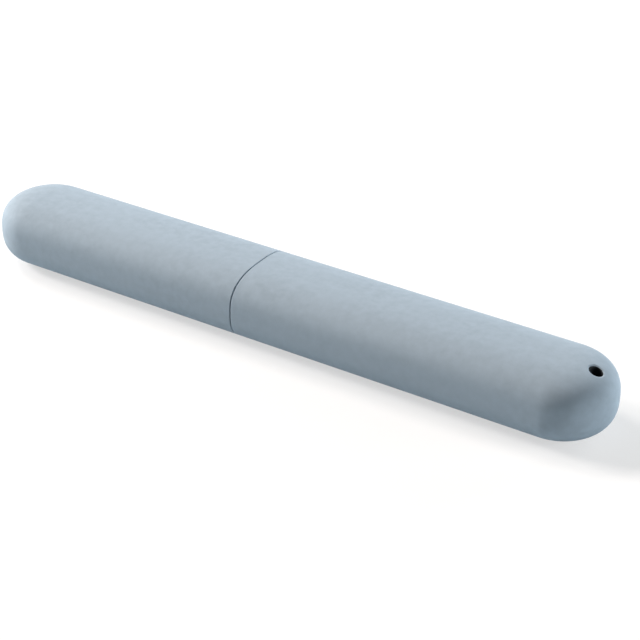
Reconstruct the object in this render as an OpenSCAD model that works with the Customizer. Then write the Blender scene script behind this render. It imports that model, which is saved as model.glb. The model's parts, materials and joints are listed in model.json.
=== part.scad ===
// Lens cleaning pen: an oval capsule in two shells, closed over a double-ended wand.
// The wand carries a swivelling carbon tip inside the cap and a dusting brush inside the body.
// Frame: X runs along the pen towards the lanyard end, Y across its width and Z up.
// The origin is on the flat underside, below the middle of the pen.

/* [Capsule] */
// Overall length of the closed pen
pen_len = 126; // [118:1:140]
// Overall width
pen_w = 19.2; // [18.6:0.2:24]
// Overall height
pen_h = 12.8; // [12.4:0.2:14.4]
// Length of the cap, from its round end to the middle of the seam
cap_len = 57.5; // [54:0.5:64]
// Open line that shows between cap and body
seam_gap = 0.35; // [0.2:0.05:0.5]
// Wall of both shells
shell_wall = 1.5; // [1.2:0.1:1.7]
// Bevel round the mouth of each shell
mouth_bevel = 0.15; // [0.05:0.05:0.3]

/* [Lanyard hole] */
// Diameter of the hole
hole_d = 2.2; // [1.6:0.1:2.6]
// Distance from the end of the body to the middle of the hole
hole_inset = 3.9; // [3.2:0.1:5]
// Solid plastic between the hole and the hollow of the body
hole_web = 1.6; // [1:0.1:2.5]

/* [Liners] */
// Wall of the liner in each shell
liner_wall = 0.9; // [0.7:0.05:1.1]
// Closed end of each liner
liner_end_t = 1; // [0.8:0.1:2]
// Thickness of the flange that seats each liner in its shell
flange_t = 1.6; // [1:0.1:2.4]
// How far the flange stands out from the liner
flange_step = 0.65; // [0.4:0.05:0.8]
// Room between the end of a liner and the start of its shell's round end
liner_margin = 0.2; // [0.1:0.1:2]

/* [Collar] */
// Length of the collar inside the cap
collar_cap_len = 10; // [9.5:0.5:13]
// Length of the collar inside the body
collar_body_len = 14; // [11:0.5:16]
// Thickness of the stop that stands between the two liners
stop_t = 1; // [0.8:0.1:1.6]
// Stepped-down lead at each end of the collar
lead_len = 1.2; // [0.6:0.1:1.4]
// How far the lead is stepped down
lead_step = 0.3; // [0.1:0.05:0.4]
// Cord diameter of the rubber grip rings
ring_d = 1; // [0.8:0.05:1.1]
// Distance from the middle of the seam to each grip ring
ring_inset = 5; // [3.5:0.1:5.4]
// Diameter of the bore through the collar
bore_d = 4.2; // [3.6:0.1:4.4]
// Length of the spigots that stand in the bore
spigot_len = 9; // [7:0.5:9.5]
// Diameter of the cross pins that hold the spigots
cross_pin_d = 1.2; // [0.8:0.1:1.4]
// Distance from each end of the collar to its cross pin
cross_pin_inset = 2.4; // [2:0.1:2.8]

/* [Cleaning tip] */
// Distance from the swivel to the crown of the pad
tip_reach = 10; // [9.5:0.1:12]
// Thickness of the soft pad
pad_t = 0.5; // [0.3:0.05:0.8]
// Length of the foam cushion under the pad, at its middle
foam_t = 2.5; // [1.5:0.1:3]
// Length of the carrier disc
carrier_t = 2.8; // [2.2:0.1:3]
// Width along the pen of the ring that holds the pad's skirt
pad_ring_w = 0.8; // [0.6:0.1:1]
// Thickness of the tongue in the fork
tongue_t = 2.8; // [2:0.1:3.2]
// Width of the tongue
tongue_w = 4; // [3.2:0.1:4.2]
// Diameter of the swivel pin
pivot_d = 1.5; // [1:0.1:1.8]
// Thickness of each ear of the fork
ear_t = 1.2; // [0.8:0.1:1.3]
// Width of the fork
fork_w = 4.6; // [4.2:0.1:5]
// Depth of the fork's slot behind the swivel pin
slot_depth = 3.2; // [2.6:0.1:4]
// Length of solid stem between the slot and the round neck
fork_root = 2.4; // [1.5:0.1:4]
// Diameter of the stem's neck
neck_d = 4.4; // [3.6:0.1:4.6]
// Diameter of the shoulder that stops the stem at the collar
shoulder_d = 6.6; // [5:0.1:7]
// Length of that shoulder
shoulder_t = 1.5; // [1:0.1:2.5]
// Thickness of the friction washers beside the tongue
washer_t = 0.2; // [0.1:0.05:0.3]
// Outer diameter of those washers
washer_d = 3.6; // [2.6:0.1:4]

/* [Recharging felt] */
// Thickness of the felt at its middle
felt_t = 3.5; // [2.5:0.1:4.5]
// Depth of the hollow that the pad rests over
felt_dish = 1.35; // [0.8:0.05:1.6]
// Base of the cup that holds the felt
cup_base = 1.2; // [0.8:0.1:2]
// Wall of that cup
cup_wall = 0.7; // [0.5:0.05:0.9]

/* [Brush] */
// Height of the ferrule
ferrule_h = 5.2; // [4.6:0.1:5.8]
// Width of the ferrule
ferrule_w = 10; // [8:0.1:10.6]
// Length of the ferrule
ferrule_len = 12.5; // [11:0.5:15]
// Metal thickness of the ferrule
ferrule_wall = 0.35; // [0.2:0.05:0.5]
// Width of the two crimped beads
bead_w = 0.8; // [0.5:0.1:1.2]
// How far the beads stand out
bead_step = 0.2; // [0.1:0.05:0.4]
// Distance from the ferrule's foot to the first bead, and between beads
bead_pitch = 2; // [1.6:0.1:2.4]
// Length of the plug inside the ferrule
plug_len = 7; // [5:0.5:8]
// Thickness of the bristles' glued base
base_t = 2; // [1:0.1:3]
// Free room between the brush and the end of its chamber
brush_room = 6.2; // [4.5:0.1:9]
// Distance between neighbouring bristles at the base
strand_pitch = 0.32; // [0.31:0.01:0.36]
// Thickness of a bristle at its root
strand_d = 0.2; // [0.12:0.02:0.22]
// Thickness of a bristle at its tip
strand_tip_d = 0.1; // [0.06:0.02:0.2]
// How deep the bristles are rooted in their base
root_depth = 0.5; // [0.2:0.1:0.9]
// How far the brush spreads to each side, from its base to its end
brush_spread = 1.1; // [0:0.05:1.2]
// How much shorter the outermost bristles are than the middle ones
crown_drop = 3; // [0:0.5:5]

/* [Clearances] */
// Between pieces that are pushed together for good
push_fit = 0.05; // [0.02:0.01:0.08]
// Between a pin and the hole that it is driven into
pin_fit = 0.01; // [0.005:0.005:0.02]
// Between the swivel pin and the tongue that turns on it
swivel_fit = 0.05; // [0.02:0.01:0.08]
// Between the collar and the liner that slides over it
slide_fit = 0.15; // [0.1:0.05:0.3]
// Between a grip ring and the liner that slides over it
grip_fit = 0.03; // [0.02:0.01:0.05]
// Between the stop and each liner's flange
stop_play = 0.05; // [0.03:0.01:0.1]
// Between the tip and the liner that slides over it
tip_fit = 0.35; // [0.25:0.05:0.6]
// Between the pad and the felt
felt_fit = 0.35; // [0.25:0.05:0.6]

/* [Hidden] */
$fn = 96;
cut = 1;    // how far a cutter runs past the face that it opens

// Colours of the finishes
shell_blue = [0.64, 0.70, 0.74];
liner_grey = [0.80, 0.82, 0.83];
charcoal = [0.16, 0.17, 0.18];
rubber_black = [0.10, 0.10, 0.11];
steel = [0.76, 0.77, 0.79];
nylon = [0.92, 0.91, 0.88];
suede_black = [0.07, 0.07, 0.08];
foam_grey = [0.35, 0.36, 0.38];
felt_dark = [0.20, 0.20, 0.21];
bristle_brown = [0.24, 0.18, 0.14];

// Places along the pen. Distances in a side run from the middle of the seam into that shell.
seam_x = cap_len - pen_len / 2;
body_len = pen_len - cap_len;
end_r = pen_w / 2;
cap_liner_end = cap_len - end_r - liner_margin;
body_liner_end = body_len - end_r - liner_margin;

// Sizes across the pen. Every oval has the same half flat, and differs in its rounding radius.
flat = (pen_w - pen_h) / 2;
shell_r = pen_h / 2;
cavity_r = shell_r - shell_wall;
liner_r = cavity_r - push_fit;
liner_bore_r = liner_r - liner_wall;
seat_r = cavity_r + flange_step;
flange_r = seat_r - push_fit;
collar_r = liner_bore_r - slide_fit;
stop_r = seat_r - slide_fit;
ring_r = ring_d / 2;
ring_path_r = liner_bore_r - grip_fit - ring_r;
groove_r = ring_path_r - ring_r - push_fit;
groove_w = ring_d + 2 * push_fit;
spigot_r = bore_d / 2 - push_fit;

// Seam: the stop sets how deep the liners' flanges lie in the mouths.
mouth = seam_gap / 2;
flange_face = stop_t / 2 + stop_play;
seat_depth = flange_face + flange_t;

// Felt, cup and swivel, worked back from the closed end of the cap's liner
cup_back = cap_liner_end - liner_end_t - push_fit;
pocket_floor = cup_back - cup_base;
felt_face = pocket_floor - felt_t;
cup_front = felt_face - felt_dish;
pivot = felt_face - felt_fit - tip_reach;
cup_r = liner_bore_r - push_fit;
felt_r = cup_r - cup_wall - push_fit;
felt_ball_r = tip_reach + felt_fit;

// Cleaning tip, measured from the swivel
tip_r = liner_bore_r - tip_fit;
carrier_r = tip_r - pad_t - push_fit;
foam_ball_r = tip_reach - pad_t - push_fit;
foam_foot = foam_ball_r - foam_t;
carrier_back = foam_foot - carrier_t;
skirt_foot = carrier_back + pad_ring_w + 2 * push_fit;
slot_h = tongue_t + 2 * (washer_t + swivel_fit);
fork_h = slot_h + 2 * ear_t;
washer_z = tongue_t / 2 + swivel_fit / 2;

// Brush, measured from the seam into the body
ferrule_r = ferrule_h / 2;
ferrule_flat = (ferrule_w - ferrule_h) / 2;
ferrule_bore_r = ferrule_r - ferrule_wall;
plug_r = ferrule_bore_r - push_fit;
ferrule_foot = collar_body_len + shoulder_t;
ferrule_mouth = ferrule_foot + ferrule_len;
base_foot = ferrule_foot + plug_len + push_fit;
base_top = base_foot + base_t;
brush_end = body_liner_end - liner_end_t - brush_room;
strand_root = base_top - root_depth;
strand_r = strand_d / 2;
flare = 1 + brush_spread / plug_r;
// The outermost roots stand clear of the ferrule where the flaring brush leaves it.
mouth_flare = 1 + (flare - 1) * (ferrule_mouth - strand_root) / (brush_end - strand_root);
field_r = (ferrule_bore_r - push_fit) / mouth_flare - strand_r;
field_flat = ferrule_flat / mouth_flare;
row_pitch = strand_pitch * sin(60);

// Moves what is drawn about the pen's axis, from the seam into the body, to its place
module in_body() {
    translate([seam_x, 0, pen_h / 2]) children();
}

// The same from the seam into the cap
module in_cap() {
    translate([seam_x, 0, pen_h / 2]) mirror([1, 0, 0]) children();
}

module in_swivel() {
    in_cap() translate([pivot, 0, 0]) children();
}

// Two semicircles joined by flats
module oval_face(r, half_flat) {
    square([2 * half_flat, 2 * r], center = true);
    for (side = [-1, 1]) translate([side * half_flat, 0]) circle(r);
}

// Oval bar along X between two distances
module oval(r, from, to, half_flat = flat) {
    translate([from, 0, 0]) rotate([90, 0, 90]) linear_extrude(to - from) oval_face(r, half_flat);
}

// Round bar along X between two distances
module bar(r, from, to) {
    translate([from, 0, 0]) rotate([0, 90, 0]) cylinder(h = to - from, r = r);
}

// Outline turned about the pen's axis: its first size is the radius, its second the distance
module turned() {
    rotate([0, 90, 0]) rotate_extrude() children();
}

// Round bar upright through the axis
module upright(r, h) {
    cylinder(h = h, r = r, center = true);
}

// Block along X between two distances, centred across the pen
module block(from, to, w, h) {
    translate([from, -w / 2, -h / 2]) cube([to - from, w, h]);
}

// Oval bar that narrows evenly from one rounding radius to another
module oval_taper(r1, r2, from, to) {
    translate([from, 0, 0]) {
        rotate([90, 0, 0]) linear_extrude(2 * flat, center = true)
            polygon([[0, -r1], [to - from, -r2], [to - from, r2], [0, r1]]);
        for (side = [0, 1]) mirror([0, side, 0]) translate([0, flat, 0])
            rotate([0, 90, 0]) rotate_extrude(angle = 180)
                polygon([[0, 0], [r1, 0], [r2, to - from], [0, to - from]]);
    }
}

// Half of a round-rimmed disc, which closes the end of an oval of the same radius
module round_end(r) {
    rotate([0, 0, -90]) rotate_extrude(angle = 180) {
        translate([0, -r]) square([flat, 2 * r]);
        intersection() {
            translate([flat, 0]) circle(r);
            translate([0, -r]) square([flat + r, 2 * r]);
        }
    }
}

// Oval bar with a round end: from a start to the start of the round end and on over it
module half_capsule(r, start, spring) {
    oval(r, start, spring);
    translate([spring, 0, 0]) round_end(r);
}

// Outside of a shell, bevelled at its mouth
module shell_outside(len) {
    oval_taper(shell_r - mouth_bevel, shell_r, mouth, mouth + mouth_bevel);
    half_capsule(shell_r, mouth + mouth_bevel, len - end_r);
}

// Mouth of a shell: the way in and the seat of the liner's flange
module liner_seat() {
    oval(seat_r, mouth - cut, seat_depth);
}

module body_shell() {
    hole_at = body_len - hole_inset;
    color(shell_blue) in_body() difference() {
        shell_outside(body_len);
        liner_seat();
        intersection() {
            half_capsule(cavity_r, mouth, body_len - end_r);
            block(0, hole_at - hole_d / 2 - hole_web, pen_w, pen_h);
        }
        translate([hole_at, 0, 0]) upright(hole_d / 2, pen_h + cut);
    }
}

module cap_shell() {
    color(shell_blue) in_cap() difference() {
        shell_outside(cap_len);
        liner_seat();
        half_capsule(cavity_r, mouth, cap_len - end_r);
    }
}

// Closed sleeve with a flange at its mouth
module liner(end) {
    color(liner_grey) difference() {
        union() {
            oval(liner_r, flange_face, end);
            oval(flange_r, flange_face, seat_depth);
        }
        oval(liner_bore_r, flange_face - cut, end - liner_end_t);
    }
}

module body_liner() {
    in_body() liner(body_liner_end);
}

module cap_liner() {
    in_cap() liner(cap_liner_end);
}

// The ball round the swivel that the pad sweeps, with its clearance
module swept_ball() {
    translate([pivot, 0, 0]) sphere(felt_ball_r);
}

module recharge_cup() {
    color(charcoal) in_cap() difference() {
        oval(cup_r, cup_front, cup_back);
        oval(cup_r - cup_wall, cup_front - cut, pocket_floor);
        swept_ball();
    }
}

module recharge_felt() {
    color(felt_dark) in_cap() difference() {
        oval(felt_r, cup_front, pocket_floor);
        swept_ball();
    }
}

// Where a cross pin stands, on the body's side (1) or the cap's (-1)
function cross_pin_x(side) =
    side * ((side > 0 ? collar_body_len : collar_cap_len) - cross_pin_inset);

module wand_collar() {
    color(charcoal) in_body() difference() {
        union() {
            oval(collar_r - lead_step, -collar_cap_len, collar_body_len);
            oval(collar_r, lead_len - collar_cap_len, collar_body_len - lead_len);
            oval(stop_r, -stop_t / 2, stop_t / 2);
        }
        for (side = [-1, 1]) {
            translate([side * ring_inset, 0, 0]) difference() {
                oval(stop_r, -groove_w / 2, groove_w / 2);
                oval(groove_r, -groove_w, groove_w);
            }
            translate([cross_pin_x(side), 0, 0]) upright(cross_pin_d / 2 + pin_fit, pen_h);
        }
        bar(bore_d / 2, -collar_cap_len - cut, collar_body_len + cut);
    }
}

// Rubber cord bent to the oval of its groove
module grip_ring() {
    color(rubber_black) for (side = [0, 1]) {
        mirror([0, side, 0]) translate([0, flat, 0]) rotate([0, -90, 0])
            rotate_extrude(angle = 180) translate([ring_path_r, 0]) circle(ring_r);
        mirror([0, 0, side]) translate([0, 0, ring_path_r]) rotate([90, 0, 0])
            cylinder(h = 2 * flat, r = ring_r, center = true);
    }
}

module cap_grip_ring() {
    in_cap() translate([ring_inset, 0, 0]) grip_ring();
}

module body_grip_ring() {
    in_body() translate([ring_inset, 0, 0]) grip_ring();
}

module cross_pins() {
    color(steel) in_body() for (side = [-1, 1])
        translate([cross_pin_x(side), 0, 0]) upright(cross_pin_d / 2, 2 * (collar_r - lead_step));
}

// Round spigot in the collar's bore, drilled for its cross pin
module spigot(collar_end) {
    difference() {
        bar(spigot_r, collar_end - spigot_len, collar_end);
        translate([collar_end - cross_pin_inset, 0, 0]) upright(cross_pin_d / 2 + pin_fit, pen_h);
    }
}

module tip_stem() {
    slot_floor = pivot - slot_depth;
    color(charcoal) in_cap() {
        spigot(collar_cap_len);
        bar(shoulder_d / 2, collar_cap_len, collar_cap_len + shoulder_t);
        bar(neck_d / 2, collar_cap_len + shoulder_t, slot_floor - fork_root);
        difference() {
            union() {
                block(slot_floor - fork_root, pivot, fork_w, fork_h);
                translate([pivot, 0, 0]) upright(fork_w / 2, fork_h);
            }
            block(slot_floor, pivot + fork_w, fork_w + cut, slot_h);
            translate([pivot, 0, 0]) upright(pivot_d / 2 + pin_fit, fork_h + cut);
        }
    }
}

module swivel_pin() {
    color(steel) in_swivel() upright(pivot_d / 2, fork_h);
}

module swivel_washers() {
    color(nylon) in_swivel() for (side = [0, 1]) mirror([0, 0, side])
        translate([0, 0, washer_z]) difference() {
            cylinder(h = washer_t, r = washer_d / 2);
            upright(pivot_d / 2 + swivel_fit, 2 * washer_t + cut);
        }
}

module tip_carrier() {
    color(charcoal) in_swivel() difference() {
        union() {
            upright(tongue_w / 2, tongue_t);
            block(0, carrier_back, tongue_w, tongue_t);
            bar(carrier_r, carrier_back, foam_foot);
        }
        upright(pivot_d / 2 + swivel_fit, tongue_t + cut);
    }
}

module tip_foam() {
    color(foam_grey) in_swivel() turned() intersection() {
        translate([0, foam_foot]) square([carrier_r, foam_t]);
        circle(foam_ball_r);
    }
}

module tip_pad() {
    color(suede_black) in_swivel() turned() difference() {
        intersection() {
            translate([0, skirt_foot]) square([tip_r, tip_reach]);
            circle(tip_reach);
        }
        intersection() {
            translate([0, skirt_foot - cut]) square([tip_r - pad_t, tip_reach]);
            circle(tip_reach - pad_t);
        }
    }
}

module pad_ring() {
    color(shell_blue) in_swivel() difference() {
        bar(tip_r, carrier_back + push_fit, carrier_back + push_fit + pad_ring_w);
        bar(carrier_r + push_fit, carrier_back - cut, skirt_foot + cut);
    }
}

module brush_plug() {
    color(charcoal) in_body() {
        spigot(collar_body_len);
        oval(ferrule_r + bead_step, collar_body_len, ferrule_foot, ferrule_flat);
        oval(plug_r, ferrule_foot, ferrule_foot + plug_len, ferrule_flat);
    }
}

module brush_ferrule() {
    color(steel) in_body() difference() {
        union() {
            oval(ferrule_r, ferrule_foot, ferrule_mouth, ferrule_flat);
            for (i = [1, 2]) translate([ferrule_foot + i * bead_pitch, 0, 0])
                oval(ferrule_r + bead_step, -bead_w / 2, bead_w / 2, ferrule_flat);
        }
        oval(ferrule_bore_r, ferrule_foot - cut, ferrule_mouth + cut, ferrule_flat);
    }
}

// Roots of the bristles: a staggered grid, kept where it falls inside the oval field
function field_depth(y, z) = norm([max(abs(y) - field_flat, 0), z]) / field_r;
half_cols = ceil((field_flat + field_r) / strand_pitch);
half_rows = ceil(field_r / row_pitch);
roots = [
    for (row = [-half_rows:half_rows], col = [-half_cols:half_cols])
        let (y = (col + (row % 2 == 0 ? 0 : 0.5)) * strand_pitch, z = row * row_pitch)
            if (field_depth(y, z) <= 1) [y, z]
];

// Corners of a three-sided bristle about a point across the pen
function strand_ring(x, y, z, r) = [for (a = [0, 120, 240]) [x, y + r * cos(a), z + r * sin(a)]];
strand_points = [
    for (p = roots)
        let (end = brush_end - crown_drop * pow(field_depth(p[0], p[1]), 2))
            each concat(
                strand_ring(strand_root, p[0], p[1], strand_r),
                strand_ring(end, p[0] * flare, p[1] * flare, strand_tip_d / 2)
            )
];
strand_faces = [
    for (i = [0:len(roots) - 1]) let (k = 6 * i) each [
        [k, k + 1, k + 2], [k + 5, k + 4, k + 3],
        [k + 4, k + 1, k], [k + 3, k + 4, k],
        [k + 5, k + 2, k + 1], [k + 4, k + 5, k + 1],
        [k + 3, k, k + 2], [k + 5, k + 3, k + 2]
    ]
];

module brush_bristles() {
    echo(strands = len(roots));
    color(bristle_brown) in_body() {
        oval(plug_r, base_foot, base_top, ferrule_flat);
        polyhedron(strand_points, strand_faces);
    }
}

body_shell();
body_liner();
cap_shell();
cap_liner();
recharge_cup();
recharge_felt();
wand_collar();
cap_grip_ring();
body_grip_ring();
cross_pins();
tip_stem();
swivel_pin();
swivel_washers();
tip_carrier();
tip_foam();
tip_pad();
pad_ring();
brush_plug();
brush_ferrule();
brush_bristles();
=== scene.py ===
"""Looks of the lens cleaning pen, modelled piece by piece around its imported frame."""

import json
import math
from contextlib import contextmanager

import bmesh
import bpy
import numpy as np
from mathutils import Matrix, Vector


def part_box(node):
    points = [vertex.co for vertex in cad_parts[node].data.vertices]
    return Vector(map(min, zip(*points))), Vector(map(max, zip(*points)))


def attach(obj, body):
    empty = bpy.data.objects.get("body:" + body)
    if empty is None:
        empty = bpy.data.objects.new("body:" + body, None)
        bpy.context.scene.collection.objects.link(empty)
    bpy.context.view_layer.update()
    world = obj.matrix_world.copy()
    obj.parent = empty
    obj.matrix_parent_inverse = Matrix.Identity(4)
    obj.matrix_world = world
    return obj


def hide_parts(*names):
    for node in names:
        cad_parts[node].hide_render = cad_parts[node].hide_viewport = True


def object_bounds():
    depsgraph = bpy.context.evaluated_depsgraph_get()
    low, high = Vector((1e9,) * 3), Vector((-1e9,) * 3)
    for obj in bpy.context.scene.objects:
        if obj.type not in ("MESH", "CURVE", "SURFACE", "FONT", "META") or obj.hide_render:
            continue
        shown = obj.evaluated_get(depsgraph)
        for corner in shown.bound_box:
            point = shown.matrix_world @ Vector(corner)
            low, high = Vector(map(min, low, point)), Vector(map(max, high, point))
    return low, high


bl_info = {
    "name": "Lens Cleaning Pen",
    "version": (1, 0, 0),
    "blender": (4, 5, 0),
    "location": "3D View > Sidebar > Pen",
    "description": "Models and finishes a lens cleaning pen around its packed frame",
    "category": "Object",
}

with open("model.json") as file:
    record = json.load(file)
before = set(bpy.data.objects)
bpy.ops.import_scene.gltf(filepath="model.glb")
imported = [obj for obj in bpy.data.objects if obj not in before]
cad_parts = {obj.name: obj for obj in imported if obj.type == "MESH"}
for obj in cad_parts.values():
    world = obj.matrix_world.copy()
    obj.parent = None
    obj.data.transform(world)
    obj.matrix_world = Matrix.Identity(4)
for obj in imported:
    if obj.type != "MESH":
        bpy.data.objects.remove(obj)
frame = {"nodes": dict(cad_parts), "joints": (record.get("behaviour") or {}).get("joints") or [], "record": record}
CAD_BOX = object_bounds()

MM = 0.001

# Places and sizes that the frame gives. The body lies towards +X of the seam and the cap towards -X.
BODY_LOW, BODY_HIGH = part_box("body_shell")
CAP_LOW, CAP_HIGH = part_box("cap_shell")
COLLAR_LOW, COLLAR_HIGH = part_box("wand_collar")
FERRULE_LOW, FERRULE_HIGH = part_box("brush_ferrule")
PEN_WIDTH = BODY_HIGH.y - BODY_LOW.y
PEN_HEIGHT = BODY_HIGH.z - BODY_LOW.z
AXIS_Z = (BODY_HIGH.z + BODY_LOW.z) / 2
HALF_FLAT = (PEN_WIDTH - PEN_HEIGHT) / 2
SHELL_R = PEN_HEIGHT / 2
END_R = PEN_WIDTH / 2
SPRING_X = BODY_HIGH.x - END_R
SEAM_X = (CAP_HIGH.x + BODY_LOW.x) / 2
FERRULE_FLAT = (FERRULE_HIGH.y - FERRULE_LOW.y - FERRULE_HIGH.z + FERRULE_LOW.z) / 2
HOLE = next(m for m in frame["record"]["mounts"] if m["name"] == "lanyard_hole")
HOLE_X, HOLE_R = HOLE["pos_m"][0], HOLE["dims"]["r_mm"] * MM
PIVOT_X = next(j for j in frame["joints"] if j["name"] == "tip_tilt")["pos_m"][0]

# Edges sharper than this are rounded, and stay edges in the shading.
SHARP = math.radians(32)
# Corners nearer than the first are merged, and places nearer than the second count as one.
DOUBLES = 0.002 * MM
SAME_PLACE = 0.001 * MM
# Sides of the cutters of the pins' holes.
BORE_SIDES = 32


def radius(node):
    """Half the height of a CAD node: the rounding radius of an oval, or the radius of a round bar."""
    low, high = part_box(node)
    return (high.z - low.z) / 2


def near_and_far(node, away):
    """The x of a CAD node's end nearest the seam and of its far end, away being 1 or -1."""
    low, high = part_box(node)
    return (low.x, high.x) if away > 0 else (high.x, low.x)


def number(default, name, description, **options):
    """A plain number."""
    return bpy.props.FloatProperty(name=name, description=description, default=default, **options)


def length(default, name, description):
    """A length in metres, given in millimetres."""
    return number(default * MM, name, description, unit="LENGTH", precision=5)


def degrees(default, name, description):
    """An angle in radians, given in degrees."""
    return number(math.radians(default), name, description, subtype="ANGLE")


def watts(default, name, description):
    """A lamp's power."""
    return number(default, name, description, unit="POWER")


def colour(default, name, description):
    """An opaque colour."""
    return bpy.props.FloatVectorProperty(
        name=name, description=description, default=(*default, 1), subtype="COLOR", size=4, min=0, max=1)


class PenSizes(bpy.types.PropertyGroup):
    """Sizes of the pen that the frame's boxes don't give."""

    shell_wall: length(1.5, "Shell wall", "Thickness of both shells")
    liner_wall: length(0.9, "Liner wall", "Thickness of both liners")
    liner_end: length(1.0, "Liner end", "Thickness of a liner's closed end")
    flange: length(1.6, "Flange", "Thickness of the flange that seats a liner")
    push_fit: length(0.05, "Push fit", "Clearance between pieces pushed together for good")
    slide_fit: length(0.15, "Slide fit", "Clearance between the collar and a liner")
    lead: length(1.2, "Collar lead", "Length of the stepped-down lead at each end of the collar")
    lead_step: length(0.3, "Lead step", "How far that lead is stepped down")
    stop: length(1.0, "Stop", "Thickness of the collar's stop")
    shoulder: length(1.5, "Shoulder", "Length of the stem's shoulder")
    shoulder_r: length(3.3, "Shoulder radius", "Radius of the stem's shoulder")
    neck_r: length(2.2, "Neck radius", "Radius of the stem's neck")
    spigot_r: length(2.05, "Spigot radius", "Radius of the stem's spigot in the collar")
    ear: length(1.2, "Ear", "Thickness of each ear of the fork")
    fork_width: length(4.6, "Fork width", "Width of the fork")
    slot_depth: length(3.2, "Slot depth", "Depth of the fork's slot behind the swivel")
    fork_root: length(2.4, "Fork root", "Solid length behind the slot")
    tongue: length(2.8, "Tongue", "Thickness of the tongue in the fork")
    tongue_width: length(4.0, "Tongue width", "Width of the tongue")
    swivel_r: length(0.75, "Swivel radius", "Radius of the swivel pin")
    pad: length(0.5, "Pad", "Thickness of the suede pad")
    ferrule_wall: length(0.35, "Ferrule wall", "Metal thickness of the ferrule")
    bead: length(0.8, "Bead", "Width of the ferrule's crimped beads")
    bead_step: length(0.2, "Bead step", "How far the beads stand out")
    bead_pitch: length(2.0, "Bead pitch", "Distance between the beads")
    squareness: number(
        2.75, "Squareness", "Power of the shells' oval outside: 2 is an ellipse, more is squarer", min=2)
    coat_lip: length(0.07, "Coat lip", "How far the soft coat rolls over each shell's mouth")
    rim_round: length(0.10, "Rim rounding", "Rounding of the shells' mouths")
    hole_round: length(0.45, "Hole rounding", "Rounding of the lanyard hole's rims")
    edge_round: length(0.12, "Edge rounding", "Rounding of moulded edges inside the pen")
    nap: length(0.05, "Nap", "Depth of the nap of the foam, suede and felt")
    hair_r: length(0.036, "Hair radius", "Radius of a hair at its middle")
    hair_pitch: length(0.125, "Hair pitch", "Distance between neighbouring hairs at the ferrule")


class PenColours(bpy.types.PropertyGroup):
    """Colours of the pen's finishes."""

    shell: colour((0.350, 0.426, 0.497), "Shell", "Soft-touch blue-grey of both shells")
    liner: colour((0.40, 0.42, 0.44), "Liner", "Pale grey of the liners")
    # Charcoal is also painted into the lanyard hole's bore as shade.
    charcoal: colour((0.030, 0.033, 0.036), "Charcoal", "Dark plastic inside the pen")
    rubber: colour((0.012, 0.012, 0.013), "Rubber", "Black of the grip rings")
    steel: colour((0.44, 0.445, 0.45), "Steel", "Ground steel of the pins")
    ferrule: colour((0.42, 0.425, 0.44), "Ferrule", "Satin metal of the ferrule")
    nylon: colour((0.78, 0.75, 0.68), "Nylon", "Natural nylon of the washers")
    hair: colour((0.050, 0.031, 0.020), "Hair", "Dark brown of the brush")
    suede: colour((0.014, 0.014, 0.015), "Suede", "Carbon-dressed black of the pad")
    foam: colour((0.10, 0.105, 0.11), "Foam", "Grey of the foam cushion")
    felt: colour((0.030, 0.030, 0.032), "Felt", "Carbon-dusted grey of the recharging felt")


class PenStudio(bpy.types.PropertyGroup):
    """Camera and light."""

    azimuth: degrees(33.07, "Azimuth", "Camera's turn about the pen")
    elevation: degrees(30, "Elevation", "Camera's height angle")
    distance: length(311.4, "Distance", "From the camera to the middle of the pen")
    lens: number(98.76, "Lens", "Focal length", subtype="DISTANCE_CAMERA")
    shift: bpy.props.FloatVectorProperty(
        name="Shift", description="Camera's shift across and up", size=2, default=(0.0529, -0.0300))
    key_power: watts(9.9, "Key light", "Low warm softbox past the cap end")
    top_power: watts(4.9, "Top light", "High warm softbox over the cap end")
    fill_power: watts(5.3, "Fill light", "Low cool softbox past the lanyard end")
    back_power: watts(5.7, "Back light", "Low cool softbox behind the pen")
    lamp_distance: length(900, "Lamp distance", "From each light to the middle of the pen")
    warm: colour((1.0, 0.94, 0.895), "Warm white", "Colour of the key and top lights")
    cool: colour((0.94, 0.98, 1.0), "Cool white", "Colour of the fill and back lights")
    ambient: number(0.03, "Room light", "Strength of the light from all round")
    floor_lift: number(0.60, "Floor lift", "Glow that brings the lit floor up to white")


# Modelling helpers


def select_only(piece):
    """Object mode, with this piece alone selected and active."""
    if bpy.context.mode != "OBJECT":
        bpy.ops.object.mode_set(mode="OBJECT")
    bpy.ops.object.select_all(action="DESELECT")
    if piece is not None:
        piece.select_set(True)
        bpy.context.view_layer.objects.active = piece


@contextmanager
def shaping(piece, mode="FACE"):
    """Edit mode on one piece, with nothing selected at first."""
    select_only(piece)
    bpy.ops.object.mode_set(mode="EDIT")
    bpy.ops.mesh.select_mode(type=mode)
    bpy.ops.mesh.select_all(action="DESELECT")
    yield
    bpy.ops.object.mode_set(mode="OBJECT")


def pick(piece, kind, test):
    """Selects, in edit mode, just the verts, edges or faces that pass the test."""
    bpy.ops.mesh.select_mode(type={"verts": "VERT", "edges": "EDGE", "faces": "FACE"}[kind])
    bpy.ops.mesh.select_all(action="DESELECT")
    mesh = bmesh.from_edit_mesh(piece.data)
    for item in getattr(mesh, kind):
        if test(item):
            item.select_set(True)
    mesh.select_flush_mode()
    bmesh.update_edit_mesh(piece.data)


def middle(item):
    """The middle of an edge or a face."""
    return sum((v.co for v in item.verts), Vector()) / len(item.verts)


def apply_modifier(piece, kind, **settings):
    """Adds a modifier with its settings and applies it at once."""
    select_only(piece)
    modifier = piece.modifiers.new(kind.title(), kind)
    for name, value in settings.items():
        setattr(modifier, name, value)
    bpy.ops.object.modifier_apply(modifier=modifier.name)


def round_edges(piece, width, segments=3):
    """Rounds every sharp edge."""
    apply_modifier(piece, "BEVEL", width=width, segments=segments, limit_method="ANGLE",
                   angle_limit=SHARP, use_clamp_overlap=True)


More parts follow.
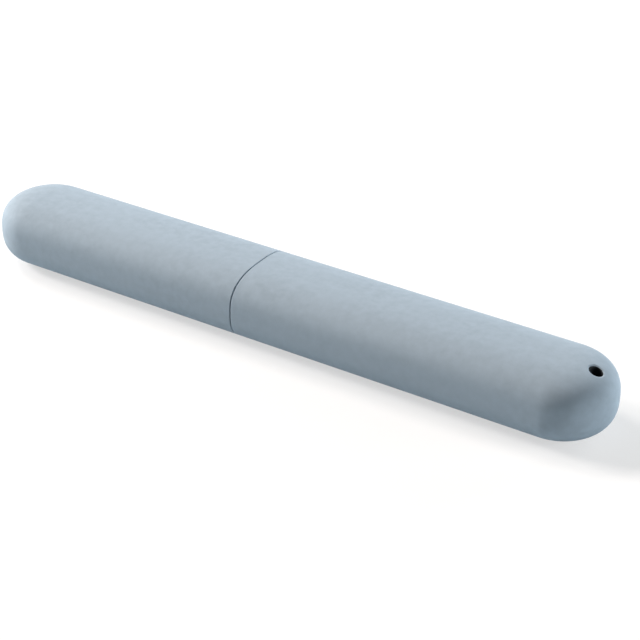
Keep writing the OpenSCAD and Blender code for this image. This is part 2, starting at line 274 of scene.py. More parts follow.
def tidy_faces(piece):
    """Merges doubles and turns every face outwards."""
    with shaping(piece):
        bpy.ops.mesh.select_all(action="SELECT")
        bpy.ops.mesh.remove_doubles(threshold=DOUBLES)
        bpy.ops.mesh.normals_make_consistent(inside=False)


def smooth(piece, angle=SHARP):
    """Smooth shading up to the angle, with flat faces kept flat beside rounded edges."""
    select_only(piece)
    bpy.ops.object.shade_smooth_by_angle(angle=angle)
    apply_modifier(piece, "WEIGHTED_NORMAL", keep_sharp=True)


def combine(piece, other, operation):
    """Joins another shape to a piece, or cuts it out, and removes the other."""
    apply_modifier(piece, "BOOLEAN", operation=operation, solver="EXACT", object=other)
    bpy.data.objects.remove(other, do_unlink=True)


def primitive(name, add, **settings):
    """Adds a primitive with the operator given, names it and puts its place into its mesh."""
    select_only(None)
    add(**settings)
    piece = bpy.context.object
    bpy.ops.object.transform_apply(location=True, rotation=True, scale=True)
    piece.name = piece.data.name = name
    return piece


def bore(piece, x, bore_r):
    """Cuts a round hole right through a piece, upright across the pen's axis."""
    cutter = primitive("bore_cutter", bpy.ops.mesh.primitive_cylinder_add, vertices=BORE_SIDES,
                       radius=bore_r, depth=2 * PEN_HEIGHT, location=(x, 0, AXIS_Z))
    combine(piece, cutter, "DIFFERENCE")


def block(name, x_from, x_to, width, height):
    """A block along the pen's axis."""
    return primitive(name, bpy.ops.mesh.primitive_cube_add, size=1,
                     location=((x_from + x_to) / 2, 0, AXIS_Z),
                     scale=(abs(x_to - x_from), width, height))


def from_flats(y, z, half_flat=HALF_FLAT):
    """How far a place is from the line between the middles of an oval's two round sides."""
    return math.hypot(max(abs(y) - half_flat, 0), z)


def step_at(x, from_r, to_r):
    """Two stations that make a square step in a turning."""
    return [(x, from_r), (x, to_r)]


def turning(name, stations, half_flat=HALF_FLAT, steps=20):
    """A bar drawn out along the pen's axis from station to station, each (x, rounding radius).

    Its section is an oval with the given half flat, or round where that is 0.
    The steps are those of a quarter turn.
    """
    (x, r), *rest = stations
    piece = primitive(name, bpy.ops.mesh.primitive_circle_add,
                      vertices=4 * steps, radius=r, fill_type="NGON",
                      location=(x, 0, AXIS_Z), rotation=(0, math.pi / 2, 0))
    with shaping(piece):
        part_halves(piece, x, 4 * steps, half_flat)
        bpy.ops.mesh.select_mode(type="FACE")
        bpy.ops.mesh.select_all(action="SELECT")
        for next_x, next_r in rest:
            bpy.ops.mesh.extrude_region_move(TRANSFORM_OT_translate={"value": (next_x - x, 0, 0)})
            if next_r != r:
                widen(piece, next_x, next_r / r, half_flat)
            x, r = next_x, next_r
    tidy_faces(piece)
    return piece


def part_halves(piece, x, corners, half_flat):
    """Turns a circle of corners by half a step, so that none is in the middle, and parts its halves."""
    bpy.ops.mesh.select_all(action="SELECT")
    bpy.ops.transform.rotate(value=math.pi / corners, orient_axis="X", center_override=(x, 0, AXIS_Z))
    for side in (-1, 1):
        pick(piece, "verts", lambda v: v.co.y * side > 0)
        bpy.ops.transform.translate(value=(0, side * half_flat, 0))


def widen(piece, x, factor, half_flat):
    """Widens the selected end of a turning about the middles of its two round sides."""
    mesh = bmesh.from_edit_mesh(piece.data)
    end = {v.index for v in mesh.verts if v.select}
    for side in (-1, 1):
        pick(piece, "verts", lambda v: v.index in end and v.co.y * side > 0)
        bpy.ops.transform.resize(value=(1, factor, factor),
                                 center_override=(x, side * half_flat, AXIS_Z))
    pick(piece, "verts", lambda v: v.index in end)
    bpy.ops.mesh.select_mode(type="FACE")


def nap(piece, depth, voxel, fibre):
    """Remeshes a soft piece evenly and sinks its surface here and there, by up to the depth."""
    apply_modifier(piece, "REMESH", mode="VOXEL", voxel_size=voxel, use_smooth_shade=True)
    texture = bpy.data.textures.new(piece.name + "_nap", "CLOUDS")
    texture.noise_scale = fibre
    texture.noise_depth = 2
    apply_modifier(piece, "DISPLACE", texture=texture, texture_coords="LOCAL", strength=depth,
                   mid_level=1.0)


def settle(piece, body, slot, material, *nodes):
    """Gives a finished piece its material, its body and the nodes that it stands for."""
    piece.data.materials.clear()
    piece.data.materials.append(material)
    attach(piece, body)
    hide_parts(*nodes)
    select_only(None)


def refinish(material, node):
    """Gives a CAD node that stays as it is a better material."""
    materials = frame["nodes"][node].data.materials
    materials.clear()
    materials.append(material)


# Materials


# Scales that draw a pattern out into fine lines, up the pins or along the pen.
UPRIGHT_LINES = (1, 1, 0.05)
LENGTHWISE_LINES = (0.06, 1, 1)


class Wiring:
    """A node tree, cleared and wired afresh."""

    # The Mix node's colour sockets, whose names are also those of its number sockets.
    FIRST, SECOND, MIXED = 6, 7, 2

    def __init__(self, tree):
        self.tree = tree
        tree.nodes.clear()

    def add(self, kind, inputs=(), **settings):
        """A new node with its settings and with its inputs fed."""
        node = self.tree.nodes.new("ShaderNode" + kind)
        for name, value in settings.items():
            setattr(node, name, value)
        for name, value in dict(inputs).items():
            self.feed(node.inputs[name], value)
        return node

    def feed(self, socket, value):
        """Links a socket to another node's, or sets it to a plain value."""
        if isinstance(value, bpy.types.NodeSocket):
            self.tree.links.new(value, socket)
        else:
            socket.default_value = value

    def coordinates(self):
        """Places in the piece's own frame."""
        return self.add("TexCoord").outputs["Object"]

    def maths(self, operation, first, second):
        """One operation on two numbers."""
        return self.add("Math", {0: first, 1: second}, operation=operation).outputs["Value"]

    def spread(self, value, to_low=0.0, to_high=1.0, low=0.3, high=0.7):
        """Maps a value to a new range, from the one in which most of a noise lies or from another."""
        node = self.add("MapRange", {"Value": value, "From Min": low, "From Max": high,
                                     "To Min": to_low, "To Max": to_high})
        return node.outputs["Result"]

    def blend(self, factor, first, second):
        """Mixes two colours by a factor."""
        node = self.add("Mix", {"Factor": factor, self.FIRST: first, self.SECOND: second}, data_type="RGBA")
        return node.outputs[self.MIXED]

    def seen(self):
        """1 for what the camera, a reflection or a view through glass sees, and 0 for light."""
        path = self.add("LightPath").outputs
        indirect = self.maths("MAXIMUM", path["Is Glossy Ray"], path["Is Transmission Ray"])
        return self.maths("MAXIMUM", path["Is Camera Ray"], indirect)


class Finish(Wiring):
    """A material under one Principled shader, whose patterns read Object coordinates."""

    def __init__(self, name, base, roughness, metallic=0.0):
        self.material = bpy.data.materials.new(name)
        self.material.use_nodes = True
        super().__init__(self.material.node_tree)
        self.shader = self.add("BsdfPrincipled", {
            "Base Color": base, "Roughness": roughness, "Metallic": metallic})
        self.add("OutputMaterial", {"Surface": self.shader.outputs["BSDF"]})
        self.roughness = roughness
        self.place = self.coordinates()
        self.relief = None

    def set(self, socket, value):
        """Feeds one of the shader's sockets."""
        self.feed(self.shader.inputs[socket], value)

    def attribute(self, name):
        """A value that the mesh carries."""
        return self.add("Attribute", attribute_name=name).outputs["Fac"]

    def noise(self, size, detail=3.0, rough=0.55, stretch=(1, 1, 1)):
        """Noise whose blotches are about the given size across."""
        mapping = self.add("Mapping", {"Vector": self.place, "Scale": stretch})
        node = self.add("TexNoise", {"Vector": mapping.outputs["Vector"], "Scale": 1 / size,
                                     "Detail": detail, "Roughness": rough})
        return node.outputs["Fac"]

    def roughen(self, pattern, less=0.06, more=0.06):
        """Varies the roughness with a pattern."""
        self.set("Roughness", self.spread(pattern, self.roughness - less, self.roughness + more))

    def bump(self, pattern, depth, strength):
        """Adds relief of the given depth to what is there already."""
        node = self.add("Bump", {"Height": pattern, "Distance": depth, "Strength": strength})
        if self.relief is not None:
            self.feed(node.inputs["Normal"], self.relief)
        self.relief = node.outputs["Normal"]
        self.set("Normal", self.relief)


def shade(base, factor):
    """A colour made lighter or darker."""
    return tuple(min(1.0, c * factor) for c in base[:3]) + (1.0,)


def shell_finish(colours):
    """Soft-touch blue-grey coat, mottled and finely grained, over dark plastic where it is bare, with painted
    shade in the lanyard hole.
    """
    base = colours.shell
    finish = Finish("soft_touch_blue_grey", base, roughness=0.78)
    mottle = finish.noise(1.6 * MM, detail=4)
    drift = finish.noise(14 * MM, detail=2)
    grain = finish.noise(0.16 * MM)
    tone = finish.blend(finish.spread(mottle), shade(base, 0.93), shade(base, 1.06))
    coat = finish.blend(finish.spread(drift, to_high=0.5, low=0.35), tone, shade(base, 1.04))
    # Charcoal where the mesh marks it: bare plastic on the shells' insides, and painted shade in the lanyard
    # hole's bore.
    finish.set("Base Color", finish.blend(finish.attribute("bare"), coat, colours.charcoal))
    finish.roughen(grain)
    finish.bump(grain, depth=0.02 * MM, strength=0.5)
    finish.bump(mottle, depth=0.02 * MM, strength=0.4)
    finish.set("Specular IOR Level", 0.06)
    return finish.material


def moulded_finish(name, base, roughness):
    """Moulded plastic with a fine spark texture and a little cloudiness."""
    finish = Finish(name, base, roughness)
    grain = finish.noise(0.12 * MM, detail=2)
    cloud = finish.noise(4 * MM)
    finish.set("Base Color", finish.blend(finish.spread(cloud), shade(base, 0.92), shade(base, 1.08)))
    finish.roughen(grain)
    finish.bump(grain, depth=0.012 * MM, strength=0.5)
    finish.set("Specular IOR Level", 0.35)
    return finish.material


def charcoal_finish(name, colours):
    """Dark moulded plastic of the wand and the cup."""
    return moulded_finish(name, colours.charcoal, roughness=0.5)


def metal_finish(name, base, roughness, lines):
    """Ground metal, with fine lines along the direction in which the pattern is drawn out."""
    finish = Finish(name, base, roughness, metallic=1.0)
    scratches = finish.noise(0.5 * MM, detail=4, stretch=lines)
    smudge = finish.noise(2.5 * MM)
    finish.set("Base Color", finish.blend(finish.spread(smudge, low=0.35), shade(base, 0.9), base))
    finish.roughen(scratches, less=0.08, more=0.1)
    finish.bump(scratches, depth=0.006 * MM, strength=0.35)
    return finish.material


def pin_finish(name, colours):
    """Ground steel of the pins, which stand upright."""
    return metal_finish(name, colours.steel, roughness=0.28, lines=UPRIGHT_LINES)


def fibre_finish(name, base, fibre, depth, sheen):
    """Matted fibres: felt, suede or foam, by the size of the fibre and the depth of the nap."""
    finish = Finish(name, base, roughness=0.95)
    matting = finish.noise(fibre, detail=5, rough=0.7)
    patches = finish.noise(1.2 * MM)
    tone = finish.blend(finish.spread(matting), shade(base, 0.55), shade(base, 1.6))
    finish.set("Base Color", finish.blend(
        finish.spread(patches, to_high=0.6, low=0.35), tone, shade(base, 1.25)))
    finish.bump(matting, depth, strength=0.8)
    finish.set("Sheen Weight", sheen)
    finish.set("Sheen Roughness", 0.4)
    finish.set("Specular IOR Level", 0.15)
    return finish.material


def hair_finish(colours):
    """Dark brown hair, a little lighter towards the tips and different from hair to hair."""
    base = colours.hair
    finish = Finish("brush_hair", base, roughness=0.42)
    mixed = finish.blend(finish.attribute("hair_tone"), shade(base, 0.55), shade(base, 1.7))
    towards_tip = finish.spread(finish.attribute("hair_along"), to_high=0.55, low=0.55, high=1.0)
    finish.set("Base Color", finish.blend(towards_tip, mixed, shade(base, 2.6)))
    finish.set("Specular IOR Level", 0.45)
    return finish.material


# Operators


class PEN_OT_shells(bpy.types.Operator):
    """Models the body and cap shells, with their mouths and the lanyard hole"""

    bl_idname = "pen.shells"
    bl_label = "Shells"

    ARC_STEPS = 28
    DOME_STEPS = 88
    FLAT_STRIPS = 10
    HOLE_SIDES = 64
    # The hole's rims flare in steps through a turn in degrees, and a share of their rounding is painted dark as
    # shade, like the bore below it.
    FLARE_STEPS = 6
    FLARE_TURN = 80
    HOLE_SHADE_SHARE = 0.24

    def execute(self, context):
        sizes = context.scene.pen_sizes
        material = shell_finish(context.scene.pen_colours)
        body = self.shell("body_shell_skin", "body_liner", BODY_LOW.x, BODY_HIGH.x, sizes)
        self.drill(body, sizes)
        cap = self.shell("cap_shell_skin", "cap_liner", CAP_HIGH.x, CAP_LOW.x, sizes)
        for piece, name in ((body, "body"), (cap, "cap")):
            smooth(piece)
            self.bare_plastic_and_hole_shade(piece, sizes)
            settle(piece, name, "shell_plastic", material, name + "_shell")
        return {"FINISHED"}

    def shell(self, name, liner, mouth, end, sizes):
        """An oval wall from the mouth to where the round end springs, and that end."""
        away = math.copysign(1, end - mouth)
        spring = end - away * END_R
        rim = mouth - away * sizes.coat_lip
        face, back = near_and_far(liner, away)
        seat_r = radius(liner) + sizes.push_fit
        cavity_r = SHELL_R - sizes.shell_wall
        piece = turning(name, [
            (spring, SHELL_R),
            *step_at(rim, SHELL_R, seat_r),
            *step_at(face + away * sizes.flange, seat_r, cavity_r),
            (back + away * sizes.liner_end, cavity_r)], steps=self.ARC_STEPS)
        with shaping(piece):
            pick(piece, "faces", lambda f: abs(middle(f).x - spring) < SAME_PLACE)
            bpy.ops.mesh.delete(type="FACE")
        self.crown(piece, sizes)
        round_edges(piece, sizes.rim_round)
        self.close(piece, spring, away)
        return piece

    def crown(self, piece, sizes):
        """Cuts the flats into strips, down the middle too, and crowns them into the rounded sides."""
        with shaping(piece, "EDGE"):
            for strip in range(1, self.FLAT_STRIPS):
                y = HALF_FLAT * (2 * strip / self.FLAT_STRIPS - 1)
                bpy.ops.mesh.select_all(action="SELECT")
                bpy.ops.mesh.bisect(plane_co=(0, y, AXIS_Z), plane_no=(0, 1, 0))
        power = sizes.squareness
        for vert in piece.data.vertices:
            y, z = vert.co.y, vert.co.z - AXIS_Z
            if from_flats(y, z) > SHELL_R - sizes.push_fit:
                reach = math.hypot(y / END_R, z / SHELL_R)
                turn = math.atan2(abs(z) / SHELL_R, abs(y) / END_R)
                grow = (math.cos(turn) ** power + math.sin(turn) ** power) ** (-1 / power) / reach
                vert.co.y, vert.co.z = y * grow, AXIS_Z + z * grow

    def close(self, piece, spring, away):
        """Spins half of the open end's outline about the upright axis, which closes it."""
        with shaping(piece, "EDGE"):
            pick(piece, "edges", lambda e: e.is_boundary and middle(e).y > 0)
            bpy.ops.mesh.spin(steps=self.DOME_STEPS, angle=math.pi,
                              center=(spring, 0, AXIS_Z), axis=(0, 0, away))
        tidy_faces(piece)

    def drill(self, piece, sizes):
        """Cuts the lanyard hole with a cutter that flares at both ends, so its rims come out round."""
        rise = self.dome_height(HOLE_X, 0, sizes)
        flare = []
        for step in range(self.FLARE_STEPS + 1):
            turn = math.radians(self.FLARE_TURN * step / self.FLARE_STEPS)
            flare.append((HOLE_R + sizes.hole_round * (1 - math.cos(turn)),
                          rise - sizes.hole_round * (1 - math.sin(turn))))
        flare.append((HOLE_R + 2 * sizes.hole_round, rise + sizes.hole_round))
        (r, height), *rest = [(r, -height) for r, height in reversed(flare)] + flare
        cutter = primitive("hole_cutter", bpy.ops.mesh.primitive_circle_add,
                           vertices=self.HOLE_SIDES, radius=r, fill_type="NGON",
                           location=(HOLE_X, 0, AXIS_Z + height))
        with shaping(cutter):
            bpy.ops.mesh.select_all(action="SELECT")
            for next_r, next_height in rest:
                bpy.ops.mesh.extrude_region_move(
                    TRANSFORM_OT_translate={"value": (0, 0, next_height - height)})
                bpy.ops.transform.resize(value=(next_r / r, next_r / r, 1),
                                         center_override=(HOLE_X, 0, AXIS_Z + next_height))
                r, height = next_r, next_height
        # The rims follow the dome, which falls away all round the hole's middle.
        for vert in cutter.data.vertices:
            sag = self.dome_height(vert.co.x, vert.co.y, sizes) - rise
            vert.co.z += sag * math.copysign(1, vert.co.z - AXIS_Z)
        tidy_faces(cutter)
        combine(piece, cutter, "DIFFERENCE")

    def dome_height(self, x, y, sizes):
        """How far the body's round end rises above the axis at a place."""
        out = min(1.0, math.hypot(x - SPRING_X, y) / END_R)
        return SHELL_R * (1 - out ** sizes.squareness) ** (1 / sizes.squareness)

    def bare_plastic_and_hole_shade(self, piece, sizes):
        """Marks the faces inside the piece, which the soft coat doesn't reach, and the lanyard hole's bore with
        the inner share of its rims, which are painted dark as shade.
        """
        coat_end = radius("body_liner") + 2 * sizes.push_fit
        hole_shade_r = HOLE_R + self.HOLE_SHADE_SHARE * sizes.hole_round
        mesh = piece.data
        bare = np.zeros(len(mesh.polygons), np.float32)
        for face in mesh.polygons:
            x, y, z = face.center
            # The lanyard hole's bore and inner rims are painted dark as shade; the inner walls are bare plastic.
            in_bore = math.hypot(x - HOLE_X, y) < hole_shade_r
            in_wall = abs(x) < SPRING_X and from_flats(y, z - AXIS_Z) < coat_end
            bare[face.index] = in_bore or in_wall
        mesh.attributes.new("bare", "FLOAT", "FACE").data.foreach_set("value", bare)


def liner_radii(sizes):
    """Outer radius of the liners, inside the shells, and radius of their bores, around the collar."""
    outer_r = SHELL_R - sizes.shell_wall - sizes.push_fit
    return outer_r, outer_r - sizes.liner_wall


class PEN_OT_liners(bpy.types.Operator):
    """Models the closed sleeves that line the cap and the body"""

    bl_idname = "pen.liners"
    bl_label = "Liners"

    def execute(self, context):
        sizes = context.scene.pen_sizes
        material = moulded_finish("liner_grey", context.scene.pen_colours.liner, roughness=0.45)
        outer_r, bore_r = liner_radii(sizes)
        for body, away in (("body", 1), ("cap", -1)):
            node = body + "_liner"
            face, back = near_and_far(node, away)
            piece = turning(node + "_sleeve", [
                (back, outer_r),
                *step_at(face + away * sizes.flange, outer_r, radius(node)),
                *step_at(face, radius(node), bore_r),
                (back - away * sizes.liner_end, bore_r)])
            round_edges(piece, sizes.edge_round)
            smooth(piece)
            settle(piece, body, "liner_plastic", material, node)
        return {"FINISHED"}


class PEN_OT_collar(bpy.types.Operator):
    """Models the collar with its stop, ring grooves and pin holes, and the two grip rings"""

    bl_idname = "pen.collar"
    bl_label = "Collar and grip rings"

    RING_STEPS = 64
    CORD_STEPS = 20
    CORD_SHARP = math.radians(60)

    def execute(self, context):
        sizes = context.scene.pen_sizes
        colours = context.scene.pen_colours
        self.collar(sizes, charcoal_finish("charcoal_collar", colours))
        rubber = moulded_finish("grip_rubber", colours.rubber, roughness=0.72)
        for node in ("cap_grip_ring", "body_grip_ring"):
            self.ring(node, rubber)
        refinish(pin_finish("ground_pin", colours), "cross_pins")
        return {"FINISHED"}

    def collar(self, sizes, material):
        """A bar from the cap's end to the body's, with leads, grooves, the stop and the pins' holes."""
        r = liner_radii(sizes)[1] - sizes.slide_fit
        lead_r = r - sizes.lead_step
        stop_r = radius("wand_collar")
        piece = turning("collar_moulding", [
            (COLLAR_LOW.x, lead_r),
            *step_at(COLLAR_LOW.x + sizes.lead, lead_r, r),
            *self.groove("cap_grip_ring", r, sizes),
            *step_at(SEAM_X - sizes.stop / 2, r, stop_r),
            *step_at(SEAM_X + sizes.stop / 2, stop_r, r),
            *self.groove("body_grip_ring", r, sizes),
            *step_at(COLLAR_HIGH.x - sizes.lead, r, lead_r),
            (COLLAR_HIGH.x, lead_r)])
        low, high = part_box("cross_pins")
        pin_r = (high.y - low.y) / 2
        for x in (low.x + pin_r, high.x - pin_r):
            bore(piece, x, pin_r)
        round_edges(piece, sizes.edge_round, segments=2)
        smooth(piece)
        settle(piece, "wand", "dark_plastic", material, "wand_collar")

    def groove(self, ring, r, sizes):
        """Stations of the groove under a grip ring."""
        low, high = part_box(ring)
        floor_r = radius(ring) - (high.x - low.x) - sizes.push_fit
        return step_at(low.x - sizes.push_fit, r, floor_r) + step_at(high.x + sizes.push_fit, floor_r, r)

    def ring(self, node, material):
        """A torus whose two halves are parted and joined by the flats."""
        low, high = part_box(node)
        x = (low.x + high.x) / 2
        cord_r = (high.x - low.x) / 2
        piece = primitive(node + "_cord", bpy.ops.mesh.primitive_torus_add,
                          major_segments=self.RING_STEPS, minor_segments=self.CORD_STEPS,
                          major_radius=radius(node) - cord_r, minor_radius=cord_r,
                          location=(x, 0, AXIS_Z), rotation=(0, math.pi / 2, 0))
        with shaping(piece):
            part_halves(piece, x, self.RING_STEPS, HALF_FLAT)
        smooth(piece, self.CORD_SHARP)
        settle(piece, "wand", "grip_rubber", material, node)


class PEN_OT_tip(bpy.types.Operator):
    """Models the forked stem and the swivelling tip, with its foam, pad and ring"""

    bl_idname = "pen.tip"
    bl_label = "Cleaning tip"

    NOSE_STEPS = 12
    CROWN_STEPS = 8

    def execute(self, context):
        sizes = context.scene.pen_sizes
        colours = context.scene.pen_colours
        charcoal = charcoal_finish("charcoal_stem", colours)
        self.stem(sizes, charcoal)
        self.carrier(sizes, charcoal)
        self.foam(sizes, fibre_finish(
            "open_foam", colours.foam, fibre=0.25 * MM, depth=0.06 * MM, sheen=0.1))
        self.pad(sizes, fibre_finish(
            "carbon_suede", colours.suede, fibre=0.09 * MM, depth=0.03 * MM, sheen=0.35))
        self.ring(sizes, shell_finish(colours))
        refinish(pin_finish("ground_swivel", colours), "swivel_pin")
        refinish(moulded_finish("natural_nylon", colours.nylon, roughness=0.4), "swivel_washers")
        return {"FINISHED"}

    def stem(self, sizes, material):
        """A turned stem with a fork: a block with a round end, a slot and the swivel's hole."""
        fork_height = radius("swivel_pin") * 2
        fork_back = PIVOT_X + sizes.slot_depth + sizes.fork_root
        piece = turning("stem_moulding", [
            (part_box("tip_stem")[1].x, sizes.spigot_r),
            *step_at(COLLAR_LOW.x, sizes.spigot_r, sizes.shoulder_r),
            *step_at(COLLAR_LOW.x - sizes.shoulder, sizes.shoulder_r, sizes.neck_r),
            (fork_back - sizes.fork_root / 2, sizes.neck_r)], half_flat=0, steps=12)
        fork = block("fork", PIVOT_X - sizes.fork_width / 2, fork_back, sizes.fork_width, fork_height)
        self.round_nose(fork, PIVOT_X - sizes.fork_width / 2, sizes.fork_width)
        combine(piece, fork, "UNION")
        slot = block("slot", PIVOT_X - sizes.fork_width, PIVOT_X + sizes.slot_depth,
                     2 * sizes.fork_width, fork_height - 2 * sizes.ear)
        combine(piece, slot, "DIFFERENCE")
        bore(piece, PIVOT_X, sizes.swivel_r)
        round_edges(piece, sizes.edge_round, segments=2)
        smooth(piece)
        settle(piece, "wand", "dark_plastic", material, "tip_stem")

    def round_nose(self, piece, x, width):
        """Rounds the two upright edges of a block's end to a half circle."""
        def upright_at_end(edge):
            first, second = (v.co for v in edge.verts)
            at_end = max(abs(first.x - x), abs(second.x - x)) < SAME_PLACE
            return at_end and abs(first.y - second.y) < SAME_PLACE

        with shaping(piece, "EDGE"):
            pick(piece, "edges", upright_at_end)
            bpy.ops.mesh.bevel(
                offset=width / 2, segments=self.NOSE_STEPS, affect="EDGES", clamp_overlap=True)
        tidy_faces(piece)

    def carrier(self, sizes, material):
        """A disc behind the foam, with the tongue that turns on the swivel pin."""
        disc_r = radius("tip_carrier")
        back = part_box("pad_ring")[1].x + sizes.push_fit
        piece = turning("carrier_moulding", [(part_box("tip_carrier")[0].x, disc_r), (back, disc_r)],
                        half_flat=0, steps=12)
        nose = PIVOT_X + sizes.tongue_width / 2
        tongue = block("tongue", nose, back - sizes.tongue_width / 4, sizes.tongue_width, sizes.tongue)
        self.round_nose(tongue, nose, sizes.tongue_width)
        combine(piece, tongue, "UNION")
        bore(piece, PIVOT_X, sizes.swivel_r + sizes.push_fit)
        round_edges(piece, sizes.edge_round, segments=2)
        smooth(piece)
        settle(piece, "tip_head", "dark_plastic", material, "tip_carrier")

    def crown(self, reach, edge_r):
        """Stations of a crown about the swivel, from the given radius in towards its middle."""
        edge = math.asin(edge_r / reach)
        turns = [edge * (1 - step / self.CROWN_STEPS) for step in range(self.CROWN_STEPS)]
        return [(PIVOT_X - reach * math.cos(turn), reach * math.sin(turn)) for turn in turns]

    def foam(self, sizes, material):
        """A foam cushion with a crown, open-celled all over."""
        low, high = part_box("tip_foam")
        r = radius("tip_foam")
        piece = turning("foam_cushion", [(high.x, r), *self.crown(PIVOT_X - low.x, r)],
                        half_flat=0, steps=16)
        nap(piece, sizes.nap, voxel=0.16 * MM, fibre=0.3 * MM)
        settle(piece, "tip_head", "foam", material, "tip_foam")

    def pad(self, sizes, material):
        """A suede cap over the foam: a crown with a rounded edge and a skirt."""
        low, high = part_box("tip_pad")
        r = radius("tip_pad")
        inner = r - sizes.pad
        piece = turning("suede_pad", [
            (low.x + 2 * sizes.pad, inner),
            *step_at(high.x, inner, r),
            *self.crown(PIVOT_X - low.x, r)], half_flat=0)
        round_edges(piece, 2 * sizes.edge_round)
        nap(piece, sizes.nap, voxel=0.11 * MM, fibre=0.14 * MM)
        settle(piece, "tip_head", "suede", material, "tip_pad")

    def ring(self, sizes, material):
        """The trim ring that holds the pad's skirt: a turning back to its start, without its caps."""
        low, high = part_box("pad_ring")
        r = radius("pad_ring")
        inner = r - sizes.pad
        piece = turning("trim_ring", [
            *step_at(low.x, inner, r),
            *step_at(high.x, r, inner),
            (low.x, inner)], half_flat=0)
        with shaping(piece):
            pick(piece, "faces", lambda f: len(f.verts) > 4)
            bpy.ops.mesh.delete(type="FACE")
        tidy_faces(piece)
        round_edges(piece, 2 * sizes.edge_round)
        smooth(piece)
        settle(piece, "tip_head", "shell_plastic", material, "pad_ring")


class PEN_OT_recharge(bpy.types.Operator):
    """Finishes the cup in the end of the cap and models the felt in it"""

    bl_idname = "pen.recharge"
    bl_label = "Recharging felt"

    SWEEP_ROOM = 0.35 * MM
    SWEEP_SEGMENTS, SWEEP_RINGS = 96, 48

    def execute(self, context):
        sizes = context.scene.pen_sizes
        colours = context.scene.pen_colours
        refinish(charcoal_finish("charcoal_cup", colours), "recharge_cup")
        self.felt(sizes, fibre_finish(
            "carbon_felt", colours.felt, fibre=0.14 * MM, depth=0.05 * MM, sheen=0.2))
        return {"FINISHED"}

    def felt(self, sizes, material):
        """An oval block of felt, hollowed where the pad sweeps past it."""
        low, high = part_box("recharge_felt")
        r = radius("recharge_felt")
        piece = turning("recharging_felt", [(low.x, r), (high.x, r)], steps=12)
        pad_reach = PIVOT_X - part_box("tip_pad")[0].x
        sweep = primitive("pad_sweep", bpy.ops.mesh.primitive_uv_sphere_add,
                          segments=self.SWEEP_SEGMENTS, ring_count=self.SWEEP_RINGS,
                          radius=pad_reach + self.SWEEP_ROOM, location=(PIVOT_X, 0, AXIS_Z))
        combine(piece, sweep, "DIFFERENCE")
        nap(piece, sizes.nap, voxel=0.14 * MM, fibre=0.2 * MM)
        settle(piece, "cap", "felt", material, "recharge_felt")


